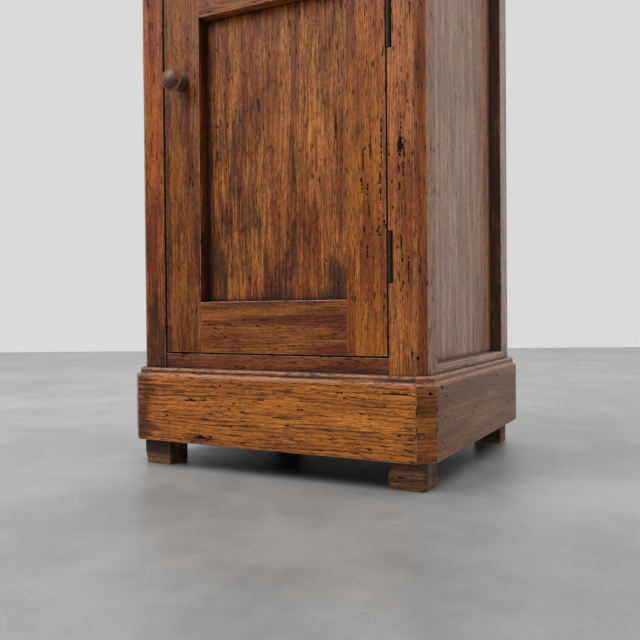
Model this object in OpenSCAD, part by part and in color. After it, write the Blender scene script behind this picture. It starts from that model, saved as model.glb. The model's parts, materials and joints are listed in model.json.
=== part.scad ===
// Nightstand: a frame-and-panel bedside cabinet with canted front corners.
// It stands on a moulded plinth with four block feet, and holds one drawer over one door.
// X runs to the right, Y to the back and Z up, with the origin on the floor
// under the middle of the whole outline, knobs included.

/* [Overall] */
// Width over the plinth and the top
plinth_w = 430; // [400:5:520]
// Depth over the plinth and the top
plinth_d = 387; // [370:1:480]
// Height from the floor to the top face
total_h = 800; // [740:5:900]

/* [Plinth and feet] */
// Height of the feet below the plinth
foot_h = 34; // [15:1:60]
// Width of a foot block
foot_w = 41; // [30:1:50]
// Depth of a front foot block
foot_front_d = 39; // [30:1:50]
// How far a front foot reaches under the plinth's side board
foot_out = 3.5; // [0:0.5:8]
// Rounding of a front foot's outer corner
foot_round = 7; // [1:0.5:12]
// Depth of a rear foot block
foot_rear_d = 31; // [25:1:45]
// Height of the plinth boards, moulding included
plinth_h = 95.5; // [70:0.5:130]
// Thickness of the plinth boards
plinth_t = 16.5; // [14:0.5:20]
// How far the plinth's front corners are cut back along each face
plinth_cant = 18.8; // [14:0.2:26]
// Step at the foot of the plinth moulding
mould_step = 0.6; // [0.2:0.1:1.5]
// Radius of the cove in the plinth moulding
cove_r = 4.6; // [3:0.2:6]
// Height of the fillet over the cove
fillet_h = 1.4; // [0.6:0.2:3]
// Radius of the round at the top of the plinth moulding
ovolo_r = 3.9; // [2:0.1:5]

/* [Posts] */
// How far the body stands back from the plinth at the front and sides
body_inset = 12.9; // [10.5:0.1:15]
// How far the front posts' outer corners are cut back
body_cant = 11.3; // [4:0.1:16]
// Width of a front post
front_post_w = 42.3; // [38:0.1:48]
// Depth of a front post
front_post_d = 43; // [40:0.5:50]
// Width of a rear post
rear_post_w = 34; // [32:0.5:37]
// Depth of a rear post
rear_post_d = 37.6; // [36:0.2:46]

/* [Rails] */
// Height of the rail under the door
lower_rail_h = 19.4; // [18:0.1:30]
// How far that rail stands back from the posts
lower_rail_setback = 2; // [0:0.5:4]
// Thickness of that rail
lower_rail_t = 22; // [20:0.5:26]
// Width of its rebate for the floor board
floor_rebate = 8; // [5:0.5:9]
// Height of the side rails over the plinth
side_low_h = 10.5; // [10:0.1:13]
// Width of the side rails over the plinth
side_low_w = 37; // [34:0.5:39]
// Height of the upper side rails
side_up_h = 55; // [45:1:80]
// Thickness of the upper side rails
side_rail_t = 25; // [25:0.5:28]
// Thickness of the rail between door and drawer
divider_t = 18; // [15:0.5:24]
// Thickness of the front rail under the top
upper_rail_t = 18; // [15:0.5:24]
// Height of the upper back rail
back_rail_h = 50; // [40:1:70]
// Thickness of the back rails
back_rail_t = 18; // [15:0.5:22]
// Length of the carcass tenons
tenon_l = 16; // [8:0.5:17]
// Thickness of the carcass tenons
tenon_t = 9; // [6:0.5:11]
// Shoulder above and below a tenon
tenon_shoulder = 2.5; // [1.5:0.5:3.5]
// Room left at the bottom of a mortise
mortise_gap = 1; // [0.5:0.1:2]

/* [Panels and back] */
// How far the side panels lie behind the posts' outer faces
side_recess = 16; // [12:0.5:16]
// Thickness of the side panels
side_panel_t = 9; // [6:0.5:9]
// Depth of the panel grooves
groove_d = 6; // [4:0.5:7]
// Room for a panel to swell at each edge
panel_play = 1; // [0.5:0.1:2]
// Wood left between a side panel's groove and the tenons
tenon_wall = 2; // [1.5:0.1:3]
// Thickness of the back boards
back_board_t = 10; // [8:0.5:13]
// Width of the rear posts' rebate for the back boards
back_rebate = 6; // [4:0.5:8]
// Gap between the two back boards
back_board_gap = 0.8; // [0.4:0.1:2]

/* [Nails] */
// Diameter of a nail's shank
nail_d = 2.2; // [1.6:0.1:3]
// Diameter of a nail's head
nail_head_d = 5; // [4:0.1:7]
// Thickness of a nail's head
nail_head_t = 1; // [0.6:0.1:1.5]
// Length of a nail
nail_l = 24; // [18:0.5:25]
// Distance of the nails from a board's edges
nail_edge = 28; // [20:1:50]

/* [Shelf] */
// Height of the shelf's underside over the floor of the cupboard
shelf_rise = 236; // [140:2:270]
// Thickness of the shelf
shelf_t = 14; // [10:0.5:20]
// Width of the shelf cleats
cleat_w = 18; // [14:0.5:24]
// Height of the shelf cleats
cleat_h = 18; // [12:0.5:30]

/* [Door] */
// Thickness of the door frame
door_t = 27; // [27:0.5:29]
// Gap between the door and the post at the knob side
door_gap_lock = 3.5; // [2:0.1:5]
// Gap between the door and the post at the hinge side
door_gap_hinge = 2.5; // [2:0.1:3.5]
// Gap above and below the door
door_gap_end = 1.8; // [1:0.1:4]
// Width of the stile at the knob side
stile_lock_w = 55.5; // [48:0.5:66]
// Width of the stile at the hinge side
stile_hinge_w = 49.5; // [44:0.5:62]
// Width of the lower door rail
door_low_w = 65.2; // [50:0.2:90]
// Width of the upper door rail
door_up_w = 60; // [50:1:90]
// How far the door panel lies behind the frame's face
door_recess = 16.5; // [12:0.5:17]
// Thickness of the door panel, its grooves and tenons
door_panel_t = 7; // [5:0.5:7]
// Length of the door rails' tenons
door_tenon_l = 32; // [20:1:36]
// Shoulder above and below a door tenon
door_shoulder = 10; // [6:1:14]
// Width of the stop strip over the door
stop_w = 12; // [8:0.5:15]
// Height of the stop strip over the door
stop_h = 10; // [6:0.5:14]
// Length of the stop strip over the door
stop_l = 240; // [120:10:280]
// Gap between the closed door and its stop
stop_gap = 0.4; // [0.3:0.1:0.8]

/* [Hinges] */
// Length of a hinge
hinge_l = 56; // [50:1:80]
// Distance from the door's end to the middle of its hinge
hinge_rise = 112.5; // [60:0.5:140]
// Diameter of a hinge's barrel
barrel_d = 5; // [4.8:0.1:6.4]
// Diameter of a hinge's pin
pin_d = 3; // [2.4:0.1:3.4]
// Gap between the barrel and the leaf behind it
barrel_gap = 0.3; // [0.2:0.05:0.5]
// Running clearance round the pin
pin_play = 0.05; // [0.02:0.01:0.09]
// Diameter of the pin's heads
pin_head_d = 4.4; // [4:0.1:5.2]
// Thickness of the pin's heads
pin_head_t = 1.2; // [0.8:0.1:1.4]
// Number of knuckles on a hinge
knuckles = 4; // [2:1:6]
// Length of the first and the last knuckle
knuckle_end_l = 10.4; // [8:0.1:14]
// Gap between two knuckles
knuckle_gap = 0.2; // [0.1:0.05:0.4]
// Thickness of a hinge leaf
leaf_t = 1.6; // [1.2:0.1:1.8]
// How far a leaf reaches behind the pin
leaf_w = 20; // [17:0.5:21]
// How far behind the pin's axis the door's leaf starts
leaf_start = 0.7; // [0.4:0.1:0.8]
// Distance from the door's edge to the pin's axis
axis_side = 3.7; // [3.5:0.1:4.4]
// Distance from the front of the door to the pin's axis
axis_deep = 1.4; // [1:0.1:1.8]
// Width of the notch in the post round the barrel
notch_w = 5.6; // [5.2:0.1:7]
// Depth of the notch in the post round the barrel
notch_d = 6; // [5.4:0.1:8]
// Room in the notch above and below a hinge
notch_end = 1.8; // [1.6:0.1:2.5]
// Diameter of a hinge screw
screw_d = 2.4; // [1.8:0.1:3]
// Diameter of its head
screw_head_d = 4.8; // [4:0.1:5.6]
// Length of it in the wood
screw_l = 14; // [10:0.5:18]
// Spacing of the hinge screws along a leaf
screw_pitch = 21; // [16:0.5:23]
// Distance of the outer hinge screws behind the pin
screw_near = 8; // [6.5:0.5:9]
// Distance of the middle hinge screw behind the pin
screw_far = 14; // [11:0.5:14.5]

/* [Drawer] */
// Height of the drawer's opening
drawer_open_h = 98; // [92:1:120]
// Gap round the drawer
drawer_gap = 1.5; // [1:0.1:2.5]
// Gap under the drawer's sides
runner_gap = 0.3; // [0.2:0.05:0.5]
// Room behind the drawer, up to the upper back rail
drawer_room = 16.1; // [4:0.1:80]
// Thickness of the drawer's front
drawer_front_t = 20; // [18:0.5:24]
// Thickness of the drawer's sides and back
drawer_side_t = 10; // [8:0.5:13]
// Height of the drawer's sides
drawer_side_h = 85; // [60:1:86]
// How much lower the drawer's back is than its sides
drawer_back_drop = 5; // [3:1:15]
// How far the sides are let into the front
drawer_lap = 12; // [8:0.5:14]
// Thickness of the drawer's bottom
drawer_bottom_t = 6; // [4:0.5:8]
// Height of the bottom over the lower edge of the sides
drawer_bottom_rise = 8; // [7:0.5:12]
// Depth of the grooves that hold the bottom
drawer_groove_d = 5; // [3:0.5:6]
// Thickness of the runners
runner_h = 10; // [8:0.5:14]
// Width of the runners that carries the drawer
runner_w = 20; // [14:0.5:30]
// Height of the guides on the runners
guide_h = 30; // [15:1:45]
// Gap over the drawer's sides
kicker_gap = 1; // [0.5:0.1:2]
// Height of the kickers over the drawer
kicker_h = 14; // [10:0.5:16]
// Width of the drawer stops
drawer_stop_w = 40; // [20:2:60]
// Depth of the drawer stops
drawer_stop_d = 12; // [8:0.5:18]
// Height of the drawer stops
drawer_stop_h = 5.5; // [4:0.5:6]
// Distance of the drawer stops from the middle
drawer_stop_x = 60; // [45:5:100]
// Gap between the closed drawer and its stops
drawer_stop_gap = 0.4; // [0.3:0.1:0.8]

/* [Knobs and catch] */
// Height of the door knob over the lower end of the door
door_knob_rise = 350; // [250:5:400]
// How far the knobs stand in front of the body
knob_reach = 28; // [22:1:36]
// Diameter of the knobs
knob_d = 30; // [24:1:36]
// Diameter of a knob's foot
knob_foot_d = 20; // [16:1:24]
// Thickness of a knob's foot
knob_foot_t = 3; // [2:0.5:5]
// Height of the slope between a knob's foot and its neck
knob_slope = 1.5; // [0.5:0.1:3]
// Diameter of a knob's neck
knob_neck_d = 13; // [10:1:16]
// Half the thickness of a knob's head
knob_head_t = 8; // [6:0.5:10]
// Diameter of the knobs' stems
stem_d = 9; // [7:0.5:10]
// Clearance round the door knob's stem
stem_play = 0.08; // [0.03:0.01:0.1]
// Gap between the door and the parts that turn on it
turn_gap = 0.3; // [0.2:0.1:0.6]
// Thickness of the catch inside the door
catch_t = 4; // [3:0.5:6]
// Width of the catch
catch_w = 12; // [11:0.5:16]
// How far the catch reaches into the post
catch_bite = 6.5; // [4:0.5:9]
// Room round the catch in its mortise
catch_play = 1; // [0.6:0.1:2]

/* [Top] */
// Thickness of the top
top_t = 24; // [18:1:32]
// Radius of the cove under the top's edge
top_cove_r = 7; // [4:0.5:9]
// Radius of the round on the top's edge
top_round_r = 5; // [2:0.5:8]

/* [Hidden] */
$fn = 48;
ARC_STEPS = 8;
FAR = 2 * (plinth_w + plinth_d + total_h);
EPS = 1;

KNOB_PROUD = max(0, knob_reach - body_inset);
BACK_Y = (plinth_d + KNOB_PROUD) / 2;
FRONT_Y = BACK_Y - plinth_d;
MID_Y = (FRONT_Y + BACK_Y) / 2;
FACE_Y = FRONT_Y + body_inset;
POST_REAR_Y = FACE_Y + front_post_d;
REAR_POST_Y = BACK_Y - rear_post_d;
BACK_IN_Y = BACK_Y - back_board_t;
BACK_RAIL_Y = BACK_IN_Y - back_rail_t;
LOW_Y0 = FACE_Y + lower_rail_setback;
LOW_Y1 = LOW_Y0 + lower_rail_t;

SIDE_X = plinth_w / 2;
BODY_X = SIDE_X - body_inset;
OPEN_X = BODY_X - front_post_w;
REAR_IN_X = BODY_X - rear_post_w;
PANEL_OUT_X = BODY_X - side_recess;
PANEL_IN_X = PANEL_OUT_X - side_panel_t;
SIDE_TENON_X = PANEL_OUT_X + tenon_wall;
BACK_BOARD_X = REAR_IN_X + back_rebate;
FOOT_X = SIDE_X - plinth_t;

PLINTH_TOP = foot_h + plinth_h;
BODY_TOP = total_h - top_t;
RAIL_TOP = PLINTH_TOP + lower_rail_h;
FLOOR_Z = PLINTH_TOP + side_low_h;
DRAWER_TOP = BODY_TOP - upper_rail_t;
DIVIDER_TOP = DRAWER_TOP - drawer_open_h;
DIVIDER_Z = DIVIDER_TOP - divider_t;
SIDE_UP_Z = BODY_TOP - side_up_h;
BACK_UP_Z = BODY_TOP - back_rail_h;
SHELF_Z = RAIL_TOP + shelf_rise;
MITRE = tan(22.5);
NAIL_X = [back_board_gap / 2 + nail_edge, BACK_BOARD_X - nail_edge];
NAIL_Z = [(PLINTH_TOP + FLOOR_Z) / 2, (BACK_UP_Z + BODY_TOP) / 2];

DOOR_L = -OPEN_X + door_gap_lock;
DOOR_R = OPEN_X - door_gap_hinge;
DOOR_Z0 = RAIL_TOP + door_gap_end;
DOOR_Z1 = DIVIDER_Z - door_gap_end;
DOOR_BACK_Y = FACE_Y + door_t;
PANEL_L = DOOR_L + stile_lock_w;
PANEL_R = DOOR_R - stile_hinge_w;
PANEL_Z0 = DOOR_Z0 + door_low_w;
PANEL_Z1 = DOOR_Z1 - door_up_w;
DOOR_GROOVE_Y = FACE_Y + door_recess;

HINGE_X = DOOR_R + axis_side;
HINGE_Y = FACE_Y + axis_deep;
HINGE_Z = [DOOR_Z0 + hinge_rise, DOOR_Z1 - hinge_rise];
LEAF_SCREWS = [[-screw_pitch, screw_near], [0, screw_far], [screw_pitch, screw_near]];

KNOB_X = (DOOR_L + PANEL_L) / 2;
DOOR_KNOB_Z = DOOR_Z0 + door_knob_rise;
CATCH_Y = DOOR_BACK_Y + turn_gap;
CATCH_L = KNOB_X + OPEN_X + catch_bite;
CATCH_SWEEP = sqrt(pow(CATCH_L, 2) + pow(catch_w / 2, 2) - pow(KNOB_X + OPEN_X, 2));

DRAWER_X = OPEN_X - drawer_gap;
DRAWER_IN_X = DRAWER_X - drawer_side_t;
DRAWER_Z0 = DIVIDER_TOP + drawer_gap;
DRAWER_Z1 = DRAWER_TOP - drawer_gap;
DRAWER_END_Y = BACK_RAIL_Y - drawer_room;
DRAWER_SIDE_Z = DIVIDER_TOP + runner_gap;
DRAWER_SIDE_Z1 = DRAWER_SIDE_Z + drawer_side_h;
DRAWER_BOTTOM_Z = DRAWER_SIDE_Z + drawer_bottom_rise;
DRAWER_KNOB_Z = (DRAWER_Z0 + DRAWER_Z1) / 2;

ELM = "#9a5826";
ELM_DARK = "#7c4420";
ELM_SIDE = "#85664f";
PINE = "#b08a5c";
IRON = "#3a3835";

// Helpers

// A box between two corners
module box(x0, x1, y0, y1, z0, z1) {
    translate([x0, y0, z0]) cube([x1 - x0, y1 - y0, z1 - z0]);
}

// Draws a right-hand piece, or its mirror image at the left
module on_side(side) {
    if (side > 0) children();
    else mirror([1, 0, 0]) children();
}

// Points on an arc from angle a0 to angle a1
function arc(cx, cy, r, a0, a1) = [
    for (i = [0 : ARC_STEPS])
        let (a = a0 + (a1 - a0) * i / ARC_STEPS)
        [cx + r * cos(a), cy + r * sin(a)]
];

// A straight run of moulding through the point `at`: everything behind the profile.
// The profile holds [depth behind the face, height] from the bottom up.
module run(profile, at, turn) {
    low = profile[0][1];
    high = profile[len(profile) - 1][1];
    translate([at[0], at[1], 0])
        rotate([0, 0, turn])
            translate([-FAR / 2, 0, 0])
                rotate([90, 0, 90])
                    linear_extrude(height = FAR)
                        polygon(concat(profile, [[FAR, high], [FAR, low]]));
}

// Upright prism over a plan outline
module prism(outline, z0, z1) {
    translate([0, 0, z0]) linear_extrude(height = z1 - z0) polygon(outline);
}

// A cylinder along +X or +Y from a point
module rod_x(at, d, l) {
    translate(at) rotate([0, 90, 0]) cylinder(d = d, h = l);
}
module rod_y(at, d, l) {
    translate(at) rotate([-90, 0, 0]) cylinder(d = d, h = l);
}

// Plinth and feet

function plinth_profile() = let (
    z = PLINTH_TOP - cove_r - fillet_h - ovolo_r,
    u = mould_step + cove_r
) concat(
    [[0, foot_h], [0, z]],
    arc(mould_step, z + cove_r, cove_r, -90, 0),
    arc(u + ovolo_r, PLINTH_TOP - ovolo_r, ovolo_r, 180, 90)
);

module plinth_front() {
    x = SIDE_X - plinth_cant;
    x_in = x - plinth_t * MITRE;
    y_in = FRONT_Y + plinth_t;
    color(ELM) intersection() {
        prism([[-x, FRONT_Y], [x, FRONT_Y], [x_in, y_in], [-x_in, y_in]], foot_h, PLINTH_TOP);
        run(plinth_profile(), [0, FRONT_Y], 0);
    }
}

module plinth_corner(side) {
    x = SIDE_X - plinth_cant;
    y = FRONT_Y + plinth_cant;
    cut = plinth_t * MITRE;
    color(ELM) on_side(side) intersection() {
        prism([[x, FRONT_Y], [SIDE_X, y], [SIDE_X - plinth_t, y + cut], [x - cut, FRONT_Y + plinth_t]],
            foot_h, PLINTH_TOP);
        run(plinth_profile(), [SIDE_X - plinth_cant / 2, FRONT_Y + plinth_cant / 2], 45);
    }
}

module plinth_side(side) {
    y = FRONT_Y + plinth_cant;
    color(ELM_SIDE) on_side(side) intersection() {
        prism([[SIDE_X, y], [SIDE_X, BACK_Y], [FOOT_X, BACK_Y], [FOOT_X, y + plinth_t * MITRE]],
            foot_h, PLINTH_TOP);
        run(plinth_profile(), [SIDE_X, MID_Y], 90);
    }
}

module plinth_back() {
    x = FOOT_X - foot_w;
    color(PINE) box(-x, x, BACK_Y - plinth_t, BACK_Y, foot_h, PLINTH_TOP);
}

// The front blocks fill the plinth's canted corners, and stand under them as square feet
module foot_front(side) {
    x_in = FOOT_X - foot_w;
    x_out = FOOT_X + foot_out;
    y = FRONT_Y + plinth_t;
    y_back = y + foot_front_d;
    cut = plinth_cant + plinth_t * MITRE;
    color(ELM_DARK) on_side(side) {
        prism([[x_in, y], [SIDE_X - cut, y], [FOOT_X, FRONT_Y + cut], [FOOT_X, y_back], [x_in, y_back]],
            foot_h, PLINTH_TOP);
        prism(concat([[x_in, y_back], [x_in, y]],
            arc(x_out - foot_round, y + foot_round, foot_round, -90, 0), [[x_out, y_back]]), 0, foot_h);
    }
}

module foot_rear(side) {
    color(ELM_DARK) on_side(side)
        box(FOOT_X - foot_w, FOOT_X, BACK_Y - foot_rear_d, BACK_Y, 0, PLINTH_TOP);
}

// Rails that run across the front or back, between two posts at x = -half and half

module cross_tenons(half, y0, y1, z0, z1, extra = 0) {
    x = half + tenon_l + extra;
    y = (y0 + y1) / 2;
    box(-x, x, y - tenon_t / 2, y + tenon_t / 2, z0 + tenon_shoulder, z1 - tenon_shoulder);
}

module cross_rail(half, y0, y1, z0, z1) {
    box(-half, half, y0, y1, z0, z1);
    cross_tenons(half, y0, y1, z0, z1);
}

module front_rail_lower() {
    color(ELM_DARK) difference() {
        cross_rail(OPEN_X, LOW_Y0, LOW_Y1, PLINTH_TOP, RAIL_TOP);
        box(-OPEN_X - EPS, OPEN_X + EPS, LOW_Y1 - floor_rebate, LOW_Y1 + EPS, FLOOR_Z, RAIL_TOP + EPS);
    }
}

module drawer_divider() {
    color(ELM) cross_rail(OPEN_X, FACE_Y, POST_REAR_Y, DIVIDER_Z, DIVIDER_TOP);
}

module front_rail_upper() {
    color(ELM) cross_rail(OPEN_X, FACE_Y, POST_REAR_Y, DRAWER_TOP, BODY_TOP);
}

module back_rail_lower() {
    color(PINE) difference() {
        cross_rail(REAR_IN_X, BACK_RAIL_Y, BACK_IN_Y, PLINTH_TOP, FLOOR_Z);
        back_nails_shape();
    }
}

module back_rail_upper() {
    color(PINE) difference() {
        cross_rail(REAR_IN_X, BACK_RAIL_Y, BACK_IN_Y, BACK_UP_Z, BODY_TOP);
        back_nails_shape();
    }
}

// Rails that run from front to back, at the right side

module side_tenons(z0, z1, extra = 0) {
    box(SIDE_TENON_X, SIDE_TENON_X + tenon_t, POST_REAR_Y - tenon_l - extra,
        REAR_POST_Y + tenon_l + extra, z0 + tenon_shoulder, z1 - tenon_shoulder);
}

module side_rail_lower(side) {
    color(ELM_SIDE) on_side(side) {
        difference() {
            box(BODY_X - side_low_w, BODY_X, POST_REAR_Y, REAR_POST_Y, PLINTH_TOP, FLOOR_Z);
            box(PANEL_IN_X, PANEL_OUT_X, POST_REAR_Y - EPS, REAR_POST_Y + EPS,
                FLOOR_Z - groove_d, FLOOR_Z + EPS);
        }
        side_tenons(PLINTH_TOP, FLOOR_Z);
    }
}

module side_rail_upper(side) {
    color(ELM_SIDE) on_side(side) {
        difference() {
            box(BODY_X - side_rail_t, BODY_X, POST_REAR_Y, REAR_POST_Y, SIDE_UP_Z, BODY_TOP);
            box(PANEL_IN_X, PANEL_OUT_X, POST_REAR_Y - EPS, REAR_POST_Y + EPS,
                SIDE_UP_Z - EPS, SIDE_UP_Z + groove_d);
        }
        side_tenons(SIDE_UP_Z, BODY_TOP);
    }
}

// The panel, or with grow = panel_play the groove that holds it
module side_panel_shape(grow = 0) {
    tongue = groove_d - panel_play + grow;
    box(PANEL_IN_X, PANEL_OUT_X, POST_REAR_Y - tongue, REAR_POST_Y + tongue,
        FLOOR_Z - tongue, SIDE_UP_Z + tongue);
}

module side_panel(side) {
    color(ELM_SIDE) on_side(side) side_panel_shape();
}

// Posts

module front_post_blank() {
    prism([[OPEN_X, FACE_Y], [BODY_X - body_cant, FACE_Y], [BODY_X, FACE_Y + body_cant],
        [BODY_X, POST_REAR_Y], [OPEN_X, POST_REAR_Y]], PLINTH_TOP, BODY_TOP);
}

module front_post_joints() {
    cross_tenons(OPEN_X, LOW_Y0, LOW_Y1, PLINTH_TOP, RAIL_TOP, mortise_gap);
    cross_tenons(OPEN_X, FACE_Y, POST_REAR_Y, DIVIDER_Z, DIVIDER_TOP, mortise_gap);
    cross_tenons(OPEN_X, FACE_Y, POST_REAR_Y, DRAWER_TOP, BODY_TOP, mortise_gap);
    side_tenons(PLINTH_TOP, FLOOR_Z, mortise_gap);
    side_tenons(SIDE_UP_Z, BODY_TOP, mortise_gap);
    side_panel_shape(panel_play);
}

module post_front_left() {
    color(ELM) difference() {
        on_side(-1) difference() {
            front_post_blank();
            front_post_joints();
        }
        catch_mortise();
    }
}

module post_front_right() {
    color(ELM) difference() {
        front_post_blank();
        front_post_joints();
        for (z = HINGE_Z) {
            hinge_notch(z);
            box(OPEN_X - EPS, OPEN_X + leaf_t, HINGE_Y, HINGE_Y + leaf_w, z - hinge_l / 2, z + hinge_l / 2);
            post_screws(z);
        }
    }
}

module post_rear(side) {
    color(ELM_SIDE) on_side(side) difference() {
        box(REAR_IN_X, BODY_X, REAR_POST_Y, BACK_Y, PLINTH_TOP, BODY_TOP);
        box(REAR_IN_X - EPS, BACK_BOARD_X, BACK_IN_Y, BACK_Y + EPS, PLINTH_TOP - EPS, BODY_TOP + EPS);
        cross_tenons(REAR_IN_X, BACK_RAIL_Y, BACK_IN_Y, PLINTH_TOP, FLOOR_Z, mortise_gap);
        cross_tenons(REAR_IN_X, BACK_RAIL_Y, BACK_IN_Y, BACK_UP_Z, BODY_TOP, mortise_gap);
        side_tenons(PLINTH_TOP, FLOOR_Z, mortise_gap);
        side_tenons(SIDE_UP_Z, BODY_TOP, mortise_gap);
        side_panel_shape(panel_play);
    }
}

// Back boards and their nails

module back_nails_shape() {
    for (z = NAIL_Z, x = NAIL_X, side = [-1, 1]) {
        rod_y([side * x, BACK_Y - nail_head_t, z], nail_head_d, nail_head_t);
        rod_y([side * x, BACK_Y - nail_l, z], nail_d, nail_l - nail_head_t);
    }
}

module back_nails() {
    color(IRON) back_nails_shape();
}

module back_board(side) {
    color(PINE) difference() {
        on_side(side)
            box(back_board_gap / 2, BACK_BOARD_X, BACK_IN_Y, BACK_Y, PLINTH_TOP, BODY_TOP);
        back_nails_shape();
    }
}

// Floor, shelf and cleats

module rear_post_room(z0, z1) {
    for (side = [-1, 1]) on_side(side)
        box(REAR_IN_X, SIDE_X, REAR_POST_Y, BACK_Y, z0 - EPS, z1 + EPS);
}

module floor_board() {
    color(PINE) difference() {
        box(-PANEL_IN_X, PANEL_IN_X, LOW_Y1 - floor_rebate, BACK_IN_Y, FLOOR_Z, RAIL_TOP);
        rear_post_room(FLOOR_Z, RAIL_TOP);
        for (side = [-1, 1]) on_side(side)
            box(OPEN_X, SIDE_X, FACE_Y, POST_REAR_Y, FLOOR_Z - EPS, RAIL_TOP + EPS);
    }
}

module shelf() {
    color(PINE) difference() {
        box(-PANEL_IN_X, PANEL_IN_X, POST_REAR_Y, BACK_IN_Y, SHELF_Z, SHELF_Z + shelf_t);
        rear_post_room(SHELF_Z, SHELF_Z + shelf_t);
    }
}

module shelf_cleat(side) {
    color(PINE) on_side(side)
        box(PANEL_IN_X - cleat_w, PANEL_IN_X, POST_REAR_Y, REAR_POST_Y, SHELF_Z - cleat_h, SHELF_Z);
}

// Top

function top_profile() = concat(
    arc(mould_step, BODY_TOP, top_cove_r, 0, 90),
    [[0, BODY_TOP + top_cove_r]],
    arc(top_round_r, total_h - top_round_r, top_round_r, 180, 90)
);

module top_board() {
    x = SIDE_X - plinth_cant;
    y = FRONT_Y + plinth_cant;
    x_mid = SIDE_X - plinth_cant / 2;
    y_mid = FRONT_Y + plinth_cant / 2;
    color(ELM) intersection() {
        prism([[-x, FRONT_Y], [x, FRONT_Y], [SIDE_X, y], [SIDE_X, BACK_Y], [-SIDE_X, BACK_Y], [-SIDE_X, y]],
            BODY_TOP, total_h);
        run(top_profile(), [0, FRONT_Y], 0);
        run(top_profile(), [x_mid, y_mid], 45);
        run(top_profile(), [-x_mid, y_mid], -45);
        run(top_profile(), [SIDE_X, MID_Y], 90);
        run(top_profile(), [-SIDE_X, MID_Y], -90);
    }
}

// Drawer runners, kickers and stops

module drawer_runner(side) {
    x_in = DRAWER_X - runner_w;
    color(PINE) on_side(side) {
        box(x_in, PANEL_IN_X, POST_REAR_Y, REAR_POST_Y, DIVIDER_TOP - runner_h, DIVIDER_TOP);
        box(OPEN_X, PANEL_IN_X, POST_REAR_Y, REAR_POST_Y, DIVIDER_TOP, DIVIDER_TOP + guide_h);
    }
}

module drawer_kicker(side) {
    z = DRAWER_SIDE_Z1 + kicker_gap;
    color(PINE) on_side(side)
        box(DRAWER_X - runner_w, PANEL_IN_X, POST_REAR_Y, REAR_POST_Y, z, z + kicker_h);
}

module drawer_stops() {
    y = FACE_Y + drawer_front_t + drawer_stop_gap;
    color(PINE) for (side = [-1, 1]) on_side(side)
        box(drawer_stop_x - drawer_stop_w / 2, drawer_stop_x + drawer_stop_w / 2,
            y, y + drawer_stop_d, DIVIDER_TOP, DIVIDER_TOP + drawer_stop_h);
}

module door_stop() {
    y = DOOR_BACK_Y + stop_gap;
    color(PINE) box(-stop_l / 2, stop_l / 2, y, y + stop_w, DIVIDER_Z - stop_h, DIVIDER_Z);
}

// Hinges

// Knuckles with an even number belong to the post's leaf, the others to the door's.
// The first and the last knuckle are shorter, and the rest share what is left.
KNUCKLE_STEP = (hinge_l - 2 * knuckle_end_l) / max(knuckles - 2, 1);
function knuckle_edge(k) =
    k == 0 ? 0 : k == knuckles ? hinge_l : knuckle_end_l + (k - 1) * KNUCKLE_STEP;

module knuckle(z, k, x_from, x_to, y0, y1) {
    z0 = z - hinge_l / 2 + knuckle_edge(k) + knuckle_gap / 2;
    h = knuckle_edge(k + 1) - knuckle_edge(k) - knuckle_gap;
    translate([HINGE_X, HINGE_Y, z0]) cylinder(d = barrel_d, h = h);
    box(x_from, x_to, y0, y1, z0, z0 + h);
}

module pin_bore(z) {
    translate([HINGE_X, HINGE_Y, z - hinge_l / 2 - EPS])
        cylinder(d = pin_d + 2 * pin_play, h = hinge_l + 2 * EPS);
}

module post_screws(z) {
    for (s = LEAF_SCREWS) {
        rod_x([OPEN_X, HINGE_Y + s[1], z + s[0]], screw_head_d, leaf_t);
        rod_x([OPEN_X + leaf_t, HINGE_Y + s[1], z + s[0]], screw_d, screw_l);
    }
}

module door_screws(z) {
    for (s = LEAF_SCREWS) {
        rod_x([DOOR_R - leaf_t, HINGE_Y + s[1], z + s[0]], screw_head_d, leaf_t);
        rod_x([DOOR_R - leaf_t - screw_l, HINGE_Y + s[1], z + s[0]], screw_d, screw_l);
    }
}

module hinge_leaf_post(z) {
    y = HINGE_Y + barrel_d / 2 + barrel_gap;
    color(IRON) difference() {
        union() {
            box(OPEN_X, OPEN_X + leaf_t, y, HINGE_Y + leaf_w, z - hinge_l / 2, z + hinge_l / 2);
            for (k = [0 : 2 : knuckles - 1])
                knuckle(z, k, OPEN_X, OPEN_X + leaf_t, HINGE_Y, y + EPS);
        }
        pin_bore(z);
        post_screws(z);
    }
}

module hinge_leaf_door(z) {
    y = HINGE_Y + leaf_start;
    color(IRON) difference() {
        union() {
            box(DOOR_R - leaf_t, DOOR_R, y, HINGE_Y + leaf_w, z - hinge_l / 2, z + hinge_l / 2);
            for (k = [1 : 2 : knuckles - 1])
                knuckle(z, k, DOOR_R - leaf_t / 2, HINGE_X, y, y + leaf_t);
        }
        pin_bore(z);
        door_screws(z);
    }
}

module hinge_pins() {
    color(IRON) for (z = HINGE_Z) {
        over = hinge_l / 2 + knuckle_gap;
        translate([HINGE_X, HINGE_Y, z - over]) cylinder(d = pin_d, h = 2 * over);
        translate([HINGE_X, HINGE_Y, z + over]) cylinder(d = pin_head_d, h = pin_head_t);
        translate([HINGE_X, HINGE_Y, z - over - pin_head_t]) cylinder(d = pin_head_d, h = pin_head_t);
    }
}

module hinge_notch(z) {
    reach = hinge_l / 2 + notch_end;
    box(OPEN_X - EPS, OPEN_X + notch_w, FACE_Y - EPS, FACE_Y + notch_d, z - reach, z + reach);
}

module hinge_screws_post() {
    color(IRON) for (z = HINGE_Z) post_screws(z);
}

module hinge_screws_door() {
    color(IRON) for (z = HINGE_Z) door_screws(z);
}

// Door

module door_tenons(z0, z1, extra = 0) {
    box(PANEL_L - door_tenon_l - extra, PANEL_R + door_tenon_l + extra,
        DOOR_GROOVE_Y, DOOR_GROOVE_Y + door_panel_t, z0 + door_shoulder, z1 - door_shoulder);
}

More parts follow.
